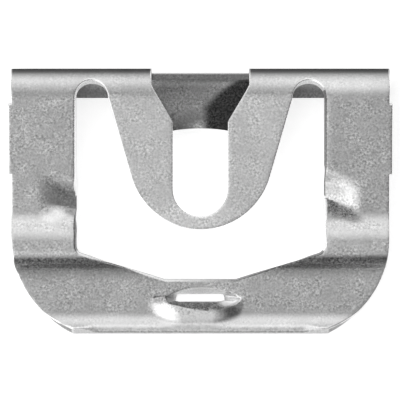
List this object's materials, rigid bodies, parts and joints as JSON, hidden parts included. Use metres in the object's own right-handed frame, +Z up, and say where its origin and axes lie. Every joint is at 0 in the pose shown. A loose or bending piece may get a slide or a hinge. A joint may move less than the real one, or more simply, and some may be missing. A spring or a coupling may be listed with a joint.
{
  "type": "molding clip",
  "caption": "Folded spring steel clip with a slotted tongue that slides over a body stud, a return leaf behind its top bend, and a ridged frame that holds the edge of a trim molding.",
  "frame": {"origin": "middle of the clip's box, on the surface that it lies on", "axes": "+X across the clip, +Y from the bottom lip to the top bend, +Z up, off the side that faces the car body"},
  "size_m": [0.0322, 0.0222, 0.004],
  "materials": {
    "sheet": "zinc plated, satin"
  },
  "bodies": {
    "root": {"clip": "sheet"}
  },
  "joints": []
}
